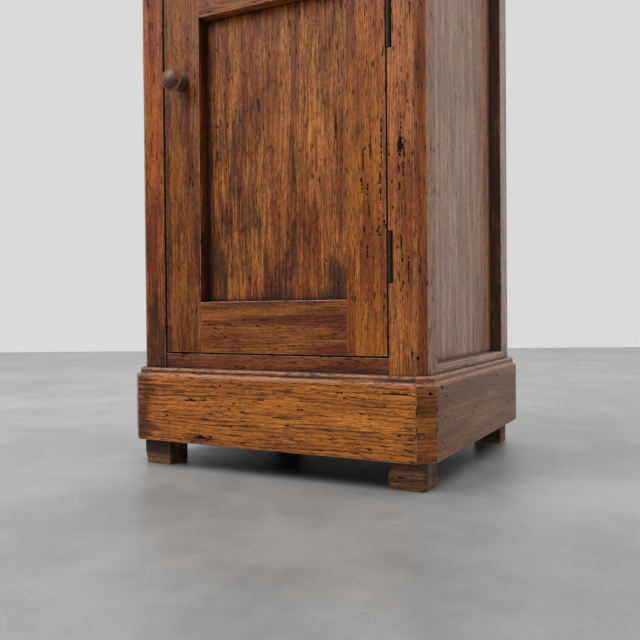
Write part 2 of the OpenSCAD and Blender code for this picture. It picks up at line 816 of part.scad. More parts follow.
// The panel, or with grow = panel_play the groove that holds it
module door_panel_shape(grow = 0) {
    tongue = groove_d - panel_play + grow;
    box(PANEL_L - tongue, PANEL_R + tongue, DOOR_GROOVE_Y, DOOR_GROOVE_Y + door_panel_t,
        PANEL_Z0 - tongue, PANEL_Z1 + tongue);
}

module door_joints() {
    door_tenons(DOOR_Z0, PANEL_Z0, mortise_gap);
    door_tenons(PANEL_Z1, DOOR_Z1, mortise_gap);
    door_panel_shape(panel_play);
}

module door_stile_lock() {
    color(ELM) difference() {
        box(DOOR_L, PANEL_L, FACE_Y, DOOR_BACK_Y, DOOR_Z0, DOOR_Z1);
        door_joints();
        rod_y([KNOB_X, FACE_Y - EPS, DOOR_KNOB_Z], stem_d + 2 * stem_play, door_t + 2 * EPS);
    }
}

module door_stile_hinge() {
    color(ELM) difference() {
        box(PANEL_R, DOOR_R, FACE_Y, DOOR_BACK_Y, DOOR_Z0, DOOR_Z1);
        door_joints();
        for (z = HINGE_Z) {
            box(DOOR_R - leaf_t, DOOR_R + EPS, HINGE_Y + leaf_start, HINGE_Y + leaf_w,
                z - hinge_l / 2, z + hinge_l / 2);
            door_screws(z);
        }
    }
}

module door_rail(z0, z1) {
    color(ELM) difference() {
        union() {
            box(PANEL_L, PANEL_R, FACE_Y, DOOR_BACK_Y, z0, z1);
            door_tenons(z0, z1);
        }
        door_panel_shape(panel_play);
    }
}

module door_panel() {
    color(ELM) door_panel_shape();
}

// Knobs and catch

// A turned knob on the face y = 0, standing out towards -Y, with its stem behind the face
module knob(gap, stem_l) {
    head_z = knob_reach - knob_head_t;
    color(ELM_DARK) rotate([90, 0, 0]) {
        rotate_extrude() polygon(concat(
            [[0, gap], [knob_foot_d / 2, gap], [knob_foot_d / 2, knob_foot_t],
                [knob_neck_d / 2, knob_foot_t + knob_slope]],
            [for (a = [-60 : 10 : 90]) [knob_d / 2 * cos(a), head_z + knob_head_t * sin(a)]]
        ));
        translate([0, 0, -stem_l]) cylinder(d = stem_d, h = stem_l + gap + EPS);
    }
}

module door_knob() {
    translate([KNOB_X, FACE_Y, DOOR_KNOB_Z]) knob(turn_gap, door_t + turn_gap + catch_t);
}

// The catch hangs down at rest and turns a quarter turn into the post
module door_catch() {
    color(IRON) difference() {
        union() {
            box(KNOB_X - catch_w / 2, KNOB_X + catch_w / 2, CATCH_Y, CATCH_Y + catch_t,
                DOOR_KNOB_Z - CATCH_L, DOOR_KNOB_Z);
            rod_y([KNOB_X, CATCH_Y, DOOR_KNOB_Z], catch_w, catch_t);
        }
        rod_y([KNOB_X, CATCH_Y - EPS, DOOR_KNOB_Z], stem_d, catch_t + 2 * EPS);
    }
}

module catch_mortise() {
    box(-OPEN_X - catch_bite - catch_play, -OPEN_X + EPS,
        CATCH_Y - catch_play, CATCH_Y + catch_t + catch_play,
        DOOR_KNOB_Z - CATCH_SWEEP - catch_play, DOOR_KNOB_Z + catch_w / 2 + catch_play);
}

// Drawer

module drawer_side_shape() {
    box(DRAWER_IN_X, DRAWER_X, FACE_Y + drawer_front_t - drawer_lap, DRAWER_END_Y,
        DRAWER_SIDE_Z, DRAWER_SIDE_Z1);
}

// The bottom, or with room the grooves that hold it
module drawer_bottom_shape() {
    x = DRAWER_IN_X + drawer_groove_d;
    box(-x, x, FACE_Y + drawer_front_t - drawer_groove_d, DRAWER_END_Y,
        DRAWER_BOTTOM_Z, DRAWER_BOTTOM_Z + drawer_bottom_t);
}

module drawer_front() {
    color(ELM) difference() {
        box(-DRAWER_X, DRAWER_X, FACE_Y, FACE_Y + drawer_front_t, DRAWER_Z0, DRAWER_Z1);
        for (side = [-1, 1]) on_side(side) drawer_side_shape();
        drawer_bottom_shape();
        rod_y([0, FACE_Y - EPS, DRAWER_KNOB_Z], stem_d, drawer_front_t + 2 * EPS);
    }
}

module drawer_side(side) {
    color(PINE) on_side(side) difference() {
        drawer_side_shape();
        drawer_bottom_shape();
    }
}

module drawer_back() {
    color(PINE) box(-DRAWER_IN_X, DRAWER_IN_X, DRAWER_END_Y - drawer_side_t, DRAWER_END_Y,
        DRAWER_BOTTOM_Z + drawer_bottom_t, DRAWER_SIDE_Z1 - drawer_back_drop);
}

module drawer_bottom() {
    color(PINE) drawer_bottom_shape();
}

module drawer_knob() {
    translate([0, FACE_Y, DRAWER_KNOB_Z]) knob(0, drawer_front_t);
}

foot_front(-1);  // foot_front_left
foot_front(1);  // foot_front_right
foot_rear(-1);  // foot_rear_left
foot_rear(1);  // foot_rear_right
plinth_front();
plinth_corner(-1);  // plinth_corner_left
plinth_corner(1);  // plinth_corner_right
plinth_side(-1);  // plinth_side_left
plinth_side(1);  // plinth_side_right
plinth_back();
post_front_left();
post_front_right();
post_rear(-1);  // post_rear_left
post_rear(1);  // post_rear_right
front_rail_lower();
drawer_divider();
front_rail_upper();
side_rail_lower(-1);  // side_rail_lower_left
side_rail_lower(1);  // side_rail_lower_right
side_rail_upper(-1);  // side_rail_upper_left
side_rail_upper(1);  // side_rail_upper_right
side_panel(-1);  // side_panel_left
side_panel(1);  // side_panel_right
back_rail_lower();
back_rail_upper();
back_board(-1);  // back_board_left
back_board(1);  // back_board_right
back_nails();
floor_board();
shelf();
shelf_cleat(-1);  // shelf_cleat_left
shelf_cleat(1);  // shelf_cleat_right
drawer_runner(-1);  // drawer_runner_left
drawer_runner(1);  // drawer_runner_right
drawer_kicker(-1);  // drawer_kicker_left
drawer_kicker(1);  // drawer_kicker_right
drawer_stops();
door_stop();
top_board();
hinge_leaf_post(HINGE_Z[0]);  // hinge_leaf_post_lower
hinge_leaf_post(HINGE_Z[1]);  // hinge_leaf_post_upper
hinge_pins();
hinge_screws_post();
door_stile_lock();
door_stile_hinge();
door_rail(DOOR_Z0, PANEL_Z0);  // door_rail_lower
door_rail(PANEL_Z1, DOOR_Z1);  // door_rail_upper
door_panel();
hinge_leaf_door(HINGE_Z[0]);  // hinge_leaf_door_lower
hinge_leaf_door(HINGE_Z[1]);  // hinge_leaf_door_upper
hinge_screws_door();
door_knob();
door_catch();
drawer_front();
drawer_side(-1);  // drawer_side_left
drawer_side(1);  // drawer_side_right
drawer_back();
drawer_bottom();
drawer_knob();
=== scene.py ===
"""A worn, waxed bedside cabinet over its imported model, in metres. Sizes in comments are millimetres."""

import json
import math
import random

import bmesh
import bpy
from mathutils import Matrix, Vector, noise
from mathutils.bvhtree import BVHTree


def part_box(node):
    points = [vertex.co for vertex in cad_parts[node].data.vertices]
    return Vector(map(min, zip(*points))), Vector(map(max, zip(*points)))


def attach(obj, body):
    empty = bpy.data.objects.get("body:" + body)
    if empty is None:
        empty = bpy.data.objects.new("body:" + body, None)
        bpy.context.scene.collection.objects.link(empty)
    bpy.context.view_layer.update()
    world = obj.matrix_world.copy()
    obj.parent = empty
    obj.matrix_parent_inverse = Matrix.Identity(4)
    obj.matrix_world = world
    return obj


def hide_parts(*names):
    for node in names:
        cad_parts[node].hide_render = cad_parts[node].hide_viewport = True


MM = 0.001

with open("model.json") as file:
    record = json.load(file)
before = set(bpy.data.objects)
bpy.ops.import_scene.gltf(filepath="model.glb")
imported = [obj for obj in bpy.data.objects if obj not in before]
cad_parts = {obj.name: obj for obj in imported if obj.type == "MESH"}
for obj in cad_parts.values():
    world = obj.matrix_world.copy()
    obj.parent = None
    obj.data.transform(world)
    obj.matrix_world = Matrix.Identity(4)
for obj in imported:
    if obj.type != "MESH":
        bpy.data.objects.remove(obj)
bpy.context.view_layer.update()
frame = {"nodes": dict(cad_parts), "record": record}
NODES = frame["nodes"]
BODY_OF = {n: body for body, names in frame["record"]["behaviour"]["bodies"].items() for n in names}


# Camera, at the photograph's place

CAMERA_AT = (0.4835, -0.95405, 0.2033)
CAMERA_YAW = 27.77
CAMERA_PITCH = -0.71
CAMERA_ROLL = -0.49
CAMERA_LENS = 42.03


def make_camera():
    yaw, pitch, roll = (math.radians(a) for a in (CAMERA_YAW, CAMERA_PITCH, CAMERA_ROLL))
    ahead = Vector((-math.sin(yaw) * math.cos(pitch), math.cos(yaw) * math.cos(pitch), math.sin(pitch)))
    right = Vector((math.cos(yaw), math.sin(yaw), 0))
    up = right.cross(ahead)
    turned_right = math.cos(roll) * right + math.sin(roll) * up
    turned_up = math.cos(roll) * up - math.sin(roll) * right
    data = bpy.data.cameras.new("camera")
    data.lens = CAMERA_LENS
    data.sensor_width = 36
    data.clip_start, data.clip_end = 0.01, 50
    camera = bpy.data.objects.new("camera", data)
    bpy.context.scene.collection.objects.link(camera)
    axes = Matrix((turned_right, turned_up, -ahead)).transposed()
    camera.matrix_world = Matrix.Translation(CAMERA_AT) @ axes.to_4x4()
    bpy.context.scene.camera = camera


make_camera()


# Shader nodes


class Net:
    """Short calls for building a node tree. Values may be numbers, colours or sockets."""

    def __init__(self, tree):
        self.tree = tree

    def node(self, kind, *values, **settings):
        made = self.tree.nodes.new(kind)
        for name, value in settings.items():
            setattr(made, name, value)
        for socket, value in zip(made.inputs, values):
            self.put(socket, value)
        return made

    def put(self, socket, value):
        if isinstance(value, bpy.types.NodeSocket):
            self.tree.links.new(value, socket)
        elif value is not None:
            socket.default_value = value

    def math(self, operation, a, b=None, c=None, clamp=False):
        return self.node("ShaderNodeMath", a, b, c, operation=operation, use_clamp=clamp).outputs[0]

    def times(self, a, b):
        return self.math("MULTIPLY", a, b)

    def plus(self, a, b):
        return self.math("ADD", a, b)

    def vector(self, operation, a, b=None, output=0):
        return self.node("ShaderNodeVectorMath", a, b, operation=operation).outputs[output]

    def stretch(self, vector, sizes, shift=0):
        """Coordinates whose unit is the given size along each axis."""
        scaled = self.vector("MULTIPLY", vector, [1 / s for s in sizes])
        return self.vector("ADD", scaled, (shift, shift * 1.7, shift * 0.6))

    def noise(self, vector, sizes, shift=0, detail=2, rough=0.5, output="Fac"):
        made = self.node("ShaderNodeTexNoise")
        self.put(made.inputs["Vector"], self.stretch(vector, sizes, shift))
        for name, value in (("Scale", 1), ("Detail", detail), ("Roughness", rough)):
            made.inputs[name].default_value = value
        return made.outputs[output]

    def step(self, value, low, high, to_low=0, to_high=1):
        """Smooth step from low to high."""
        ends = (low, high, to_low, to_high)
        return self.node("ShaderNodeMapRange", value, *ends, interpolation_type="SMOOTHSTEP").outputs[0]

    def mix(self, factor, a, b, blend="MIX"):
        made = self.node("ShaderNodeMix", data_type="RGBA", blend_type=blend, clamp_factor=True)
        for name, value in (("Factor_Float", factor), ("A_Color", a), ("B_Color", b)):
            self.put(next(s for s in made.inputs if s.identifier == name), value)
        return next(s for s in made.outputs if s.identifier == "Result_Color")

    def attribute(self, name):
        return self.node("ShaderNodeAttribute", attribute_name=name).outputs["Fac"]


def colour(hexa):
    """Linear colour of an sRGB hex value."""
    parts = [int(hexa[i : i + 2], 16) / 255 for i in (1, 3, 5)]
    return [p / 12.92 if p <= 0.04045 else ((p + 0.055) / 1.055) ** 2.4 for p in parts] + [1]


WOOD_INPUTS = {
    "Light": colour("#cf7a2a"),
    "Deep": colour("#8c4012"),
    "Line": colour("#2e1208"),
    "Stain": colour("#2c1a15"),
    "Bare and sheen": colour("#c99c80"),
    "Ring size": 2.6,
    "Rings": 0.6,
    "Streaks": 0.8,
    "Flecks": 0.8,
    "Cracks": 0.6,
    "Worms": 0.4,
    "Stains": 0.5,
    "Gloss": 0.42,
}


def make_wood_group():
    """Old coarse-grained wood. Its vector is in millimetres, with the grain along Z."""
    group = bpy.data.node_groups.new("aged_wood", "ShaderNodeTree")
    new_socket = group.interface.new_socket
    new_socket("Vector", in_out="INPUT", socket_type="NodeSocketVector")
    for name, value in WOOD_INPUTS.items():
        kind = "NodeSocketFloat" if isinstance(value, float) else "NodeSocketColor"
        new_socket(name, in_out="INPUT", socket_type=kind).default_value = value
    results = {"Color": "NodeSocketColor", "Roughness": "NodeSocketFloat", "Height": "NodeSocketFloat"}
    for name, kind in results.items():
        new_socket(name, in_out="OUTPUT", socket_type=kind)
    net = Net(group)
    given = net.node("NodeGroupInput").outputs
    p = given["Vector"]

    # Growth rings round a pith, bent slightly, each with its own strength
    bend = net.noise(p, (60, 60, 420), 3.1, detail=1, output="Color")
    bend = net.vector("MULTIPLY", net.vector("SUBTRACT", bend, (0.5, 0.5, 0.5)), (22, 22, 0))
    bent = net.vector("MULTIPLY", net.vector("ADD", p, bend), (1, 1, 0))
    radius = net.vector("LENGTH", bent, output="Value")
    ripple = net.noise(p, (5, 5, 46), 7.7, detail=2)
    phase = net.plus(net.math("DIVIDE", radius, given["Ring size"]), net.times(ripple, 1.5))
    within = net.math("FRACT", phase)
    chance = net.node("ShaderNodeTexWhiteNoise", noise_dimensions="1D")
    net.put(chance.inputs["W"], net.math("FLOOR", phase))
    chance = chance.outputs["Value"]
    line = net.times(net.step(within, 0.5, 0.8), net.step(within, 0.9, 1.0, 1, 0))
    line = net.times(line, net.plus(net.times(chance, 0.6), 0.4))
    line = net.times(line, net.step(net.noise(p, (3, 3, 26), 1.3, detail=3, rough=0.6), 0.34, 0.52, 0.25, 1))

    # Broad tones, streaks, dashes and fibres
    tone = net.step(net.noise(p, (16, 16, 190), 5.2, detail=4, rough=0.6), 0.4, 0.6)
    streak = net.step(net.noise(p, (2.6, 2.6, 55), 9.4, detail=4, rough=0.66), 0.4, 0.62)
    dash = net.step(net.noise(p, (1.4, 1.4, 11), 4.4, detail=2, rough=0.6), 0.42, 0.62)
    fibre = net.noise(p, (0.5, 0.5, 7), 2.8, detail=2, rough=0.6)
    mottle = net.noise(p, (2.4, 2.4, 5), 6.6, detail=4, rough=0.7)
    body = net.mix(tone, given["Light"], given["Deep"])
    dark = net.times(net.plus(net.times(streak, 0.6), net.times(dash, 0.4)), given["Streaks"])
    body = net.mix(dark, body, net.mix(1.0, body, (0.3, 0.28, 0.34, 1), "MULTIPLY"))
    shade = net.plus(net.times(fibre, 0.8), net.plus(net.times(mottle, 1.3), -0.05))
    body = net.node("ShaderNodeVectorMath", body, operation="SCALE")
    net.put(body.inputs["Scale"], shade)
    body = net.mix(net.times(line, given["Rings"]), body.outputs[0], given["Line"])
    # Faces turned to the sides paler and greyer: painted sheen
    body = net.mix(net.times(net.attribute("faded"), 0.6), body, colour("#a07c62"))

    # Golden patches, stains, and dirt and painted shade in corners
    patch = net.noise(p, (24, 24, 62), 4.9, detail=5, rough=0.62)
    grime_and_shade = net.attribute("grime_and_shade")
    blot = net.attribute("blot")
    gold = net.math("MULTIPLY", blot, -1, clamp=True)
    gold = net.times(gold, net.step(net.plus(patch, net.times(streak, -0.15)), 0.3, 0.55))
    body = net.mix(gold, body, net.mix(1.0, body, (0.42, 0.12, 0.015, 1), "SCREEN"))
    # Stains, pushed further by the dark patches and by tight corners, where part of the darkening is painted
    # shade
    level = net.plus(net.times(patch, 1), net.plus(net.times(grime_and_shade, 0.26), net.times(blot, 0.34)))
    level = net.plus(level, net.times(net.plus(streak, -0.5), 0.12))
    stain_and_shade = net.times(net.step(level, 0.54, 0.82), given["Stains"])
    body = net.mix(stain_and_shade, body, net.mix(0.85, body, given["Stain"]))
    # Near black deep in tight corners and gaps: dirt and painted shade
    body = net.mix(net.times(net.math("POWER", grime_and_shade, 2), 0.75), body, colour("#130b08"))

    # Rubbed edges, and pale dust and painted sheen on what faces up
    pale_patches = net.step(net.noise(p, (2, 2, 9), 8.3, detail=3, rough=0.6), 0.36, 0.54, 0.15, 1)
    worn_and_sheen = net.times(net.attribute("wear_and_sheen"), pale_patches)
    body = net.mix(net.times(worn_and_sheen, 0.85), body, given["Bare and sheen"])

    # Dark and pale flecks, short cracks along the grain, worm holes and gouges
    pores = net.noise(p, (0.9, 0.9, 9), 1.9, detail=2, rough=0.6)
    pores = net.times(net.step(pores, 0.6, 0.66), given["Flecks"])
    pale = net.noise(p, (1.1, 1.1, 4), 12.3, detail=2, rough=0.6)
    pale = net.times(net.step(pale, 0.64, 0.72), given["Flecks"])
    body = net.mix(net.times(pale, 0.4), body, given["Bare and sheen"])
    ridge = net.noise(p, (2.4, 2.4, 48), 6.1, detail=2, rough=0.5)
    ridge = net.step(net.math("ABSOLUTE", net.plus(ridge, -0.5)), 0.01, 0.035, 1, 0)
    gate = net.noise(p, (5, 5, 20), 2.2, detail=2, rough=0.55)
    cracks = net.times(ridge, net.step(net.plus(gate, net.times(given["Cracks"], 0.1)), 0.65, 0.69))
    cells = net.node("ShaderNodeTexVoronoi", feature="F1")
    net.put(cells.inputs["Vector"], net.stretch(p, (7, 7, 7), 3.3))
    cells.inputs["Scale"].default_value = 1
    size = net.node("ShaderNodeSeparateColor", cells.outputs["Color"]).outputs
    hole = net.plus(net.times(size[0], 0.06), 0.07)
    holes = net.math("LESS_THAN", cells.outputs["Distance"], hole)
    flock = net.step(net.noise(p, (26, 26, 40), 7.4, detail=1), 0.4, 0.62)
    holes = net.times(holes, net.math("LESS_THAN", size[1], net.times(given["Worms"], flock)))
    pit = net.attribute("pit")
    pit = net.step(net.plus(pit, net.times(net.plus(net.noise(p, (1.2, 1.2, 3.5), 5), -0.5), 0.5)), 0.3, 0.6)
    black = net.math("MAXIMUM", net.math("MAXIMUM", cracks, holes), pit)
    body = net.mix(net.times(pores, 0.8), body, given["Line"])
    body = net.mix(black, body, colour("#120b08"))

    rough = net.plus(given["Gloss"], net.times(net.plus(mottle, -0.5), 0.35))
    rougher = net.plus(net.times(grime_and_shade, 0.2), net.times(worn_and_sheen, 0.08))
    rough = net.plus(rough, net.plus(net.times(black, 0.35), rougher))
    height = net.plus(net.times(line, -0.12), net.plus(net.times(streak, -0.08), net.times(fibre, 0.1)))
    height = net.plus(height, net.plus(net.times(pores, -0.2), net.times(black, -0.7)))
    height = net.plus(height, net.plus(net.times(dash, -0.05), net.times(mottle, 0.16)))
    net.node("NodeGroupOutput", body, rough, height)
    return group


WOOD = make_wood_group()


def grain_mapping(node, grain, pith):
    """Location and rotation that bring a piece's grain to Z and its pith to the axis, in millimetres."""
    lo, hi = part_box(node)
    turn = Vector(grain).normalized().rotation_difference(Vector((0, 0, 1)))
    centre = turn @ ((lo + hi) / 2)
    away = turn @ Vector(pith)
    along = random.Random(node).uniform(-900, 900)
    location = away - centre / MM
    return (location.x, location.y, location.z + along), turn.to_euler()


def wood(node, grain, pith, sheen=0.3, relief=1.0, **changes):
    """A wood material for one board, with its own cut of the tree."""
    made = bpy.data.materials.new("wood_" + node)
    made.use_nodes = True
    net = Net(made.node_tree)
    made.node_tree.nodes.clear()
    place = net.node("ShaderNodeTexCoord").outputs["Object"]
    mapping = net.node("ShaderNodeMapping", place)
    location, rotation = grain_mapping(node, grain, pith)
    mapping.inputs["Location"].default_value = location
    mapping.inputs["Rotation"].default_value = rotation
    mapping.inputs["Scale"].default_value = (1 / MM,) * 3
    grown = net.node("ShaderNodeGroup", mapping.outputs[0], node_tree=WOOD)
    for name, value in {**WOOD_INPUTS, **changes}.items():
        grown.inputs[name].default_value = value
    bump = net.node("ShaderNodeBump")
    bump.inputs["Distance"].default_value = MM
    bump.inputs["Strength"].default_value = relief
    net.put(bump.inputs["Height"], grown.outputs["Height"])
    shader = net.node("ShaderNodeBsdfPrincipled")
    shader.inputs["IOR"].default_value = 1.5
    shader.inputs["Specular IOR Level"].default_value = sheen
    net.put(shader.inputs["Base Color"], grown.outputs["Color"])
    net.put(shader.inputs["Roughness"], grown.outputs["Roughness"])
    net.put(shader.inputs["Normal"], bump.outputs[0])
    net.node("ShaderNodeOutputMaterial", shader.outputs[0])
    return made


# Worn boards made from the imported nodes

TREES = {}
for name, thing in NODES.items():
    corners = [v.co.copy() for v in thing.data.vertices]
    faces = [tuple(f.vertices) for f in thing.data.polygons]
    TREES[name] = BVHTree.FromPolygons(corners, faces)
BOXES = {name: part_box(name) for name in NODES}

# Pieces closer than NEAR may touch an edge, and do so within TOUCH
NEAR = 0.5 * MM
TOUCH = 0.12 * MM

# Edges that are flatter, shorter or on a narrower face than this stay sharp
FLAT = math.radians(30)
SHORT = 2 * MM
NARROW = 1.2 * MM
BEVEL_SHARE = 0.3


def neighbours(node, reach):
    lo, hi = BOXES[node]
    near = []
    for other, (low, high) in BOXES.items():
        if other != node and all(low[i] - reach < hi[i] and high[i] + reach > lo[i] for i in range(3)):
            near.append(other)
    return near


def bisect(bm, faces, axis, place):
    edges = {e for f in faces for e in f.edges}
    verts = {v for f in faces for v in f.verts}
    normal = [0, 0, 0]
    normal[axis] = 1
    point = [0, 0, 0]
    point[axis] = place
    parts = [*verts, *edges, *faces]
    return bmesh.ops.bisect_plane(bm, geom=parts, dist=1e-7, plane_co=point, plane_no=normal)["geom"]


def slice_axis(bm, axis, step):
    """Cuts every face at regular places along an axis."""
    places = [v.co[axis] for v in bm.verts]
    low, high = min(places), max(places)
    count = max(1, round((high - low) / step))
    faces = list(bm.faces)
    for i in range(1, count):
        place = low + (high - low) * i / count
        cut = bisect(bm, faces, axis, place)
        faces = [f for f in cut if isinstance(f, bmesh.types.BMFace) and f.is_valid]
        faces = [f for f in faces if max(v.co[axis] for v in f.verts) > place + 1e-6]


def bevel_widths(bm, node, free, joint):
    """Weights for the bevel: free arrises are rounder than edges against another piece."""
    near = [TREES[n] for n in neighbours(node, NEAR)]
    weight = bm.edges.layers.float.new("bevel_weight_edge")
    for edge in bm.edges:
        if len(edge.link_faces) != 2 or not edge.is_convex or edge.calc_face_angle(0) < FLAT:
            continue
        a, b = (v.co for v in edge.verts)
        along = (b - a).normalized()
        widths = []
        for face in edge.link_faces:
            offsets = [v.co - a for v in face.verts]
            widths.append(max((offset - along * along.dot(offset)).length for offset in offsets))
        room = min(widths)
        if room < NARROW or (b - a).length < SHORT:
            continue
        middle = (a + b) / 2
        touching = any(tree.find_nearest(middle, TOUCH)[0] is not None for tree in near)
        edge[weight] = min(joint if touching else free, room * BEVEL_SHARE / MM) / max(free, joint)


def all_in_one():
    """One tree over the whole assembly at rest."""
    corners, faces = [], []
    for thing in NODES.values():
        start = len(corners)
        corners += [v.co.copy() for v in thing.data.vertices]
        faces += [tuple(start + i for i in f.vertices) for f in thing.data.polygons]
    return BVHTree.FromPolygons(corners, faces)


WHOLE = all_in_one()


# How far out a narrow and a wide corner are felt for
CORNER_REACHES = (2.5 * MM, 9 * MM)


# How closed in a place is; it darkens the wood as dirt and painted shade
def grime_and_shade_at(place, normal):
    """0 on an open surface and 1 in a tight corner."""
    closed = 0
    for reach in CORNER_REACHES:
        gap = WHOLE.find_nearest(place + normal * reach, reach)[3]
        closed += 0.5 * (1 - (reach if gap is None else gap) / reach)
    return closed


class Mark:
    """A crack or gouge in the surface at a place, along a direction, in millimetres."""

    def __init__(self, at, along, length, width, depth):
        self.at = Vector(at) * MM
        self.along = Vector(along).normalized()
        self.length, self.width, self.depth = length * MM / 2, width * MM / 2, depth * MM

    def reach(self, place):
        """How deep the place lies in the mark, from 0 to 1."""
        q = place - self.at
        s = q.dot(self.along)
        if abs(s) > self.length:
            return 0
        jitter = noise.noise(place * 420) * self.width * 1.4
        across = (q - self.along * s).length
        across = abs(across + jitter * 0.6)
        wide = self.width * (1 - (s / self.length) ** 2) * (0.9 + 0.6 * noise.noise(place * 260))
        return max(0.0, min(1.0, 1.6 * (1 - across / max(wide, 1e-6))))


CARVED_EDGE = 1.1 * MM
REFINE_ROUNDS = 3


def refine(bm, marks):
    """Splits the faces round each mark finely enough to carve it."""
    for _ in range(REFINE_ROUNDS):
        edges = set()
        for face in bm.faces:
            centre = face.calc_center_median()
            size = max(e.calc_length() for e in face.edges)
            for mark in marks:
                q = centre - mark.at
                s = q.dot(mark.along)
                if abs(s) < mark.length + size and (q - mark.along * s).length < mark.width + size:
                    edges.update(e for e in face.edges if e.calc_length() > CARVED_EDGE)
                    break
        if not edges:
            return
        bmesh.ops.subdivide_edges(bm, edges=list(edges), cuts=1, use_grid_fill=True)


def worn_board(
    node, slot, material, steps, free=1.1, joint=0.3, wave=0.12, chip=0.35, dust=0.0, dirt=1.0, faded=0.0,
    marks=(), blots=(), knocks=(),
):
    """Stands for a node: its shape with rounded, chipped arrises, an uneven surface and gouges.

    In millimetres: free and joint round open and touching arrises, wave is the surface's unevenness, chip is
    the depth of chips, and each knock pulls the surface round a place. From 0 to 1: dust and painted sheen on
    what faces up, dirt and painted shade in corners, and painted sheen that pales the sides.
    """
    bm = bmesh.new()
    bm.from_mesh(NODES[node].data)
    bmesh.ops.remove_doubles(bm, verts=bm.verts, dist=1e-6)
    bmesh.ops.dissolve_limit(bm, angle_limit=math.radians(1), verts=bm.verts, edges=bm.edges)
    lo, hi = BOXES[node]
    for other in neighbours(node, NEAR):
        for corner in BOXES[other]:
            for axis in range(3):
                if lo[axis] + SHORT < corner[axis] < hi[axis] - SHORT:
                    bisect(bm, list(bm.faces), axis, corner[axis])
    bevel_widths(bm, node, free, joint)
    mesh = bpy.data.meshes.new(node + "_worn")
    bm.to_mesh(mesh)
    bm.free()
    mesh.materials.append(material)
    mesh.materials.append(material)
    board = bpy.data.objects.new(node + "_worn", mesh)
    bpy.context.scene.collection.objects.link(board)
    rounding = board.modifiers.new("rounding", "BEVEL")
    rounding.limit_method = "WEIGHT"
    rounding.width = max(free, joint) * MM
    rounding.segments = 3
    rounding.use_clamp_overlap = False
    rounding.material = 1
    mesh = bpy.data.meshes.new_from_object(board.evaluated_get(bpy.context.evaluated_depsgraph_get()))
    board.modifiers.clear()

    bm = bmesh.new()
    bm.from_mesh(mesh)
    wear_and_sheen = bm.verts.layers.float.new("wear_and_sheen")
    for v in bm.verts:
        v[wear_and_sheen] = float(all(f.material_index == 1 for f in v.link_faces))
    for axis, step in enumerate(steps):
        if step:
            slice_axis(bm, axis, step * MM)
    if marks:
        refine(bm, marks)
    grime_and_shade = bm.verts.layers.float.new("grime_and_shade")
    pit = bm.verts.layers.float.new("pit")
    blot = bm.verts.layers.float.new("blot")
    pale = bm.verts.layers.float.new("faded")
    bm.normal_update()
    shift = Vector([random.Random(node + c).uniform(-5, 5) for c in "xyz"])
    moves = []
    for v in bm.verts:
        place, normal = v.co.copy(), v.normal.copy()
        # Darkening in corners and gaps: dirt and painted shade
        v[grime_and_shade] = grime_and_shade_at(place, normal) * dirt
        v[pit] = max([m.reach(place) for m in marks], default=0)
        v[blot] = min(1, sum(b.strength(place) for b in blots))
        # Pale on what faces up: dust and painted sheen
        v[wear_and_sheen] = max(v[wear_and_sheen], dust * max(0, min(1, 2 * normal.z - 0.2)) * (1 - v[grime_and_shade]))
        # Painted sheen that pales the faces turned to the sides
        v[pale] = faded * max(0, min(1, (abs(normal.x) - 0.75) / 0.2))
        near = place * 140 + shift
        small = max(0, noise.noise(near) + 0.1)
        big = max(0, noise.noise(place * 55 + shift) - 0.22) * 3
        worn_in = v[wear_and_sheen] * (0.25 * small + big) * chip
        uneven = wave * noise.noise(place * 14 + shift)
        deep = max([m.reach(place) * m.depth for m in marks], default=0)
        pushed = Vector()
        for at, size, push in knocks:
            pushed += Vector(push) * MM * math.exp(-((place / MM - Vector(at)).length / size) ** 2)
        moves.append(normal * ((uneven - worn_in) * MM - deep) + pushed)
    for v, move in zip(bm.verts, moves):
        v.co += move
    for face in bm.faces:
        face.material_index = 0
        face.smooth = True
    bm.to_mesh(mesh)
    bm.free()
    mesh.materials.pop()
    board.data = mesh
    mesh.set_sharp_from_angle(angle=math.radians(40))
    weighted = board.modifiers.new("weighted", "WEIGHTED_NORMAL")
    weighted.keep_sharp = True
    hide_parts(node)
    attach(board, BODY_OF[node])
    return board


class Blot:
    """A soft dark patch round a place, in millimetres."""

    def __init__(self, at, size, amount):
        self.at = Vector(at) * MM
        self.size = [s * MM for s in size]
        self.amount = amount

    def strength(self, place):
        d = sum(((place[i] - self.at[i]) / self.size[i]) ** 2 for i in range(3))
        return self.amount * math.exp(-d)


# Woods

X, Y, Z = (1, 0, 0), (0, 1, 0), (0, 0, 1)
LEFT_45, RIGHT_45 = (1, -1, 0), (1, 1, 0)

# Steps of the slices that let a board be uneven, and 0 for none
FINE = 4
CLOSE = 6
MIDDLE = 12
COARSE = 30

# Rubbed corners of the plinth and the feet: place, size, pull
KNOCKS = {
    "plinth_corner_left": [((-215, -165, 32), 9, (4, 0, 5))],
    "foot_front_left": [((-202, -169, 2), 9, (3, 0, 1.5))],
    "foot_front_right": [
        ((157, -169, 31), 9, (2.5, 1, 0)),
        ((157, -169, 13), 9, (-1, -0.5, 0)),
        ((157, -169, 0), 6, (1.5, 0, 1.5)),
        ((202, -155, 0), 12, (-1.5, 0, 1.5)),
    ],
}


